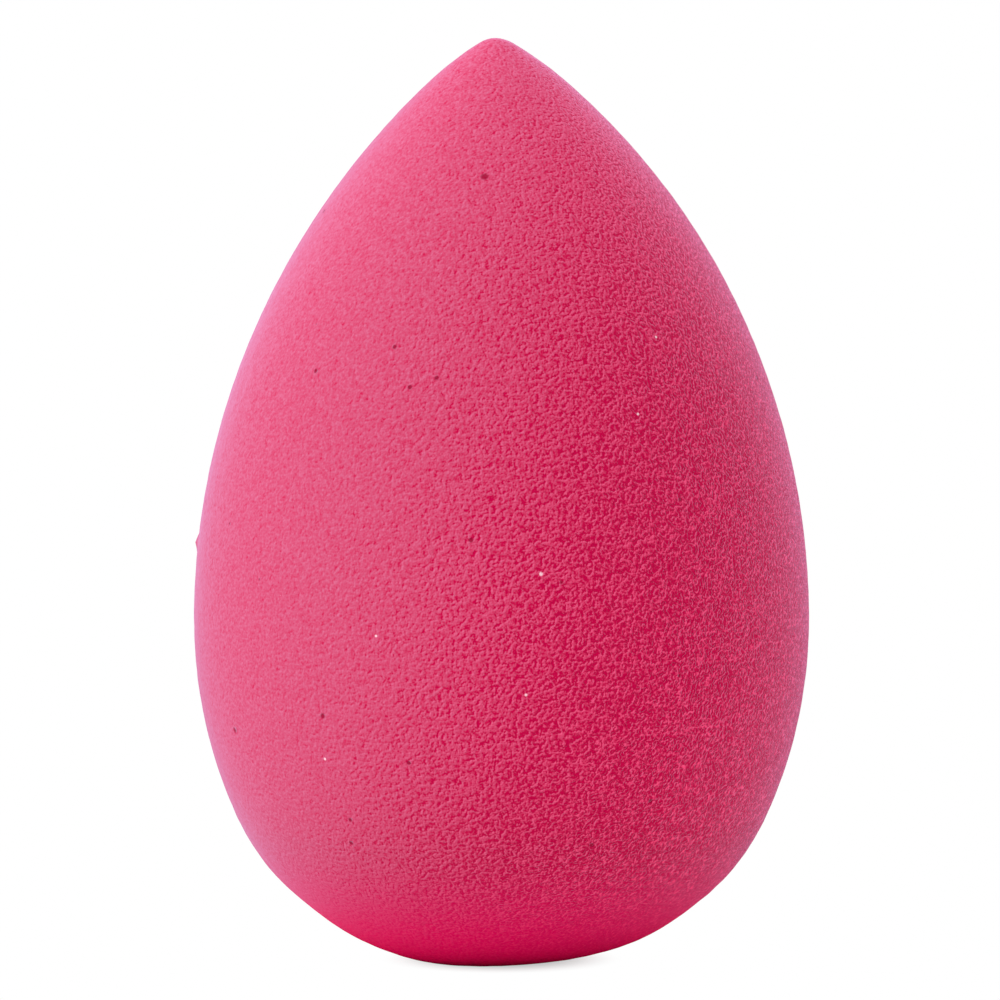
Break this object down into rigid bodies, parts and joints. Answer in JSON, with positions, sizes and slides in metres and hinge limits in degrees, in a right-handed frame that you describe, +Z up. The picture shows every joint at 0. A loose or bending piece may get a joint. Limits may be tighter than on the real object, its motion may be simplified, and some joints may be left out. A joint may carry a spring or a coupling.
{
  "type": "makeup sponge",
  "caption": "Teardrop makeup sponge of soft fine-celled foam, with a pointed tip and a round belly that stands on a small flat, for dabbing on and blending foundation.",
  "frame": {"origin": "middle of the small flat that the sponge stands on, on the surface it stands on", "axes": "+Z up through the tip, along the axis that the outline is turned round; the sponge is round, so X and Y are free, and the picture looks along +Y"},
  "size_m": [0.04, 0.04, 0.06],
  "materials": {
    "foam": "matt, velvety, fine-celled polyurethane foam dyed bright pink all through"
  },
  "bodies": {
    "root": {"foam_body": "foam"}
  },
  "joints": []
}
